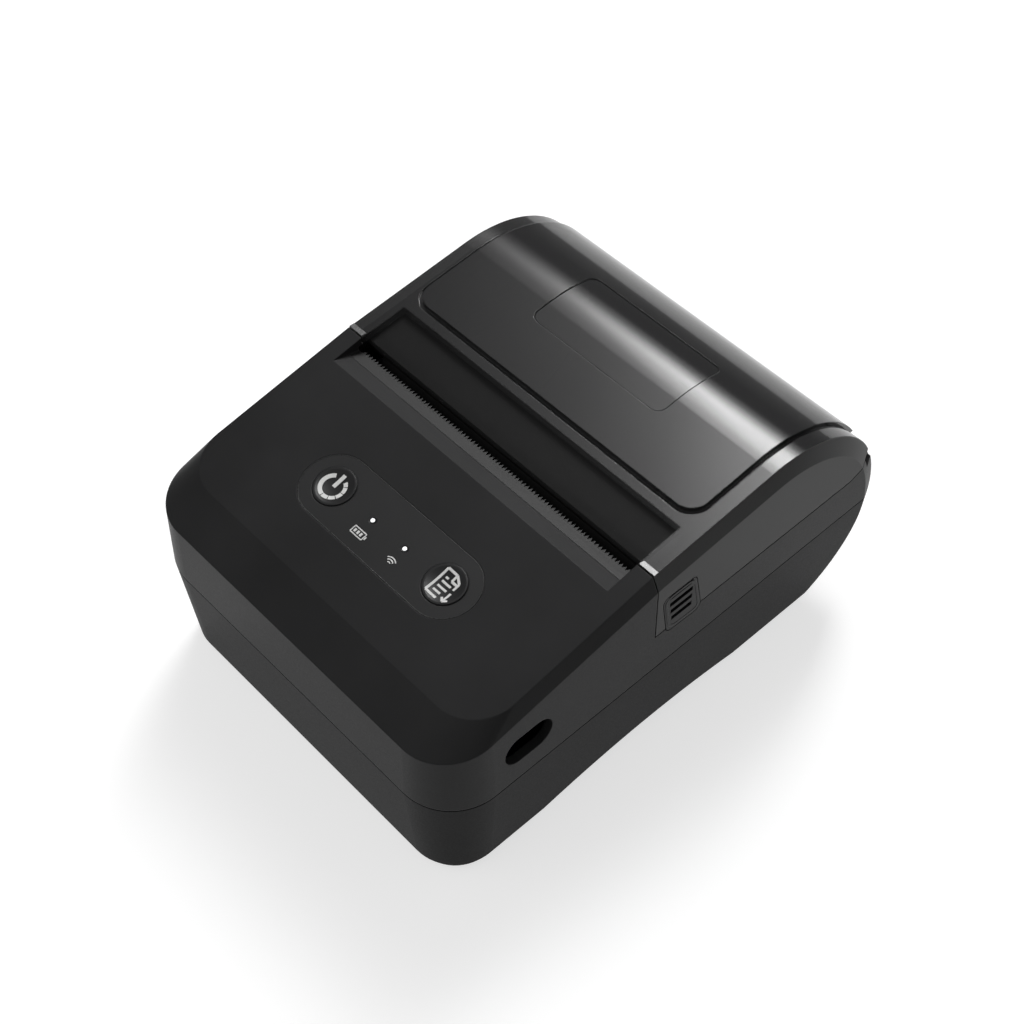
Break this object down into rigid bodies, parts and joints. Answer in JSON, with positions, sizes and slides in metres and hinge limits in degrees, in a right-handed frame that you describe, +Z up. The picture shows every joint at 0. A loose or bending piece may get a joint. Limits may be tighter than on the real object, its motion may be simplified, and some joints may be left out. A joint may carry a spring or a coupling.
{
  "type": "thermal printer",
  "caption": "Portable receipt printer with a sloping key panel, serrated tear edge, hinged smoke lid over a paper bay, platen roller, print head and geared motor drive.",
  "frame": {"origin": "on the ground under the middle of the case", "axes": "+Z up, -Y towards the front with the keys, +X to the side with the charging socket"},
  "size_m": [0.1, 0.1318, 0.0646],
  "materials": {
    "case_black": "fine moulded texture",
    "trim_black": "matte",
    "button_black": "satin",
    "lid_smoke": "smoke tint, polished",
    "light_pipe": "clear, frosted top",
    "foot_rubber": "matte",
    "steel": "plated",
    "aluminium": "milled",
    "ceramic": "ground",
    "gear_nylon": "moulded",
    "circuit_green": "solder mask",
    "component_black": "moulded",
    "connector_white": "moulded",
    "battery_wrap": "shrink film",
    "lead_sleeve": "sleeve",
    "flat_cable": "film"
  },
  "bodies": {
    "case": {"bottom_case": "case_black", "top_case": "case_black", "control_panel": "trim_black", "inner_chassis": "trim_black", "led_light_pipes": "light_pipe", "key_leds": "light_pipe", "rubber_feet": "foot_rubber", "case_screws": "steel", "key_board_screws": "steel", "board_screws": "steel", "mechanism_screws": "steel", "motor_screws": "steel", "tear_bar": "steel", "mech_frame": "steel", "motor_body": "steel", "idler_pin": "steel", "idler_clip": "steel", "head_pivot_pin": "steel", "head_springs": "steel", "hinge_pin": "steel", "usb_socket": "steel", "radio_module": "steel", "key_board": "circuit_green", "main_board": "circuit_green", "key_switches": "component_black", "board_chips": "component_black", "board_capacitors": "component_black", "paper_sensor": "component_black", "board_connectors": "connector_white", "battery_pack": "battery_wrap", "battery_lead": "lead_sleeve", "motor_lead": "lead_sleeve", "key_cable": "flat_cable", "head_cable": "flat_cable"},
    "lid": {"lid_shell": "lid_smoke", "platen_carrier": "trim_black", "carrier_screws": "steel", "platen_bushes": "gear_nylon"},
    "platen": {"platen_shaft": "steel", "platen_rubber": "foot_rubber", "platen_gear": "gear_nylon"},
    "idler": {"idler_gear": "gear_nylon"},
    "drive_pinion": {"motor_shaft": "steel", "motor_pinion": "gear_nylon"},
    "print_head": {"head_heatsink": "aluminium", "head_ceramic": "ceramic"},
    "power_key": {"power_button": "button_black"},
    "feed_key": {"feed_button": "button_black"},
    "release_left": {"release_button_left": "trim_black"},
    "release_right": {"release_button_right": "trim_black"}
  },
  "joints": [
    {"name": "lid_hinge", "type": "hinge", "parent": "case", "child": "lid", "pos_m": [0, 0.06117, 0.04056], "axis": [-1, 0, 0], "range_deg": [0, 100]},
    {"name": "platen_spin", "type": "hinge", "parent": "lid", "child": "platen", "pos_m": [0, 0.0006, 0.0503], "axis": [1, 0, 0], "continuous": true},
    {"name": "idler_spin", "type": "hinge", "parent": "case", "child": "idler", "pos_m": [0, -0.00155, 0.03691], "axis": [1, 0, 0], "continuous": true},
    {"name": "pinion_spin", "type": "hinge", "parent": "case", "child": "drive_pinion", "pos_m": [0, -0.01175, 0.03418], "axis": [1, 0, 0], "continuous": true},
    {"name": "head_swing", "type": "hinge", "parent": "case", "child": "print_head", "pos_m": [0, -0.00687, 0.0437], "axis": [1, 0, 0], "range_deg": [0, 3], "stiffness_Nm_per_rad": 0.6, "springref_deg": -2.86, "deforming": ["head_springs"]},
    {"name": "power_press", "type": "slide", "parent": "case", "child": "power_key", "axis": [0, 0.1754, -0.9845], "range_m": [0, 0.0004], "stiffness_N_per_m": 1500},
    {"name": "feed_press", "type": "slide", "parent": "case", "child": "feed_key", "axis": [0, 0.1754, -0.9845], "range_m": [0, 0.0004], "stiffness_N_per_m": 1500},
    {"name": "release_left_press", "type": "slide", "parent": "lid", "child": "release_left", "axis": [1, 0, 0], "range_m": [0, 0.0008], "stiffness_N_per_m": 1200},
    {"name": "release_right_press", "type": "slide", "parent": "lid", "child": "release_right", "axis": [-1, 0, 0], "range_m": [0, 0.0008], "stiffness_N_per_m": 1200}
  ],
  "couplings": [
    {"joint": "idler_spin", "follows": "platen_spin", "ratio": -0.8},
    {"joint": "pinion_spin", "follows": "platen_spin", "ratio": 2}
  ]
}
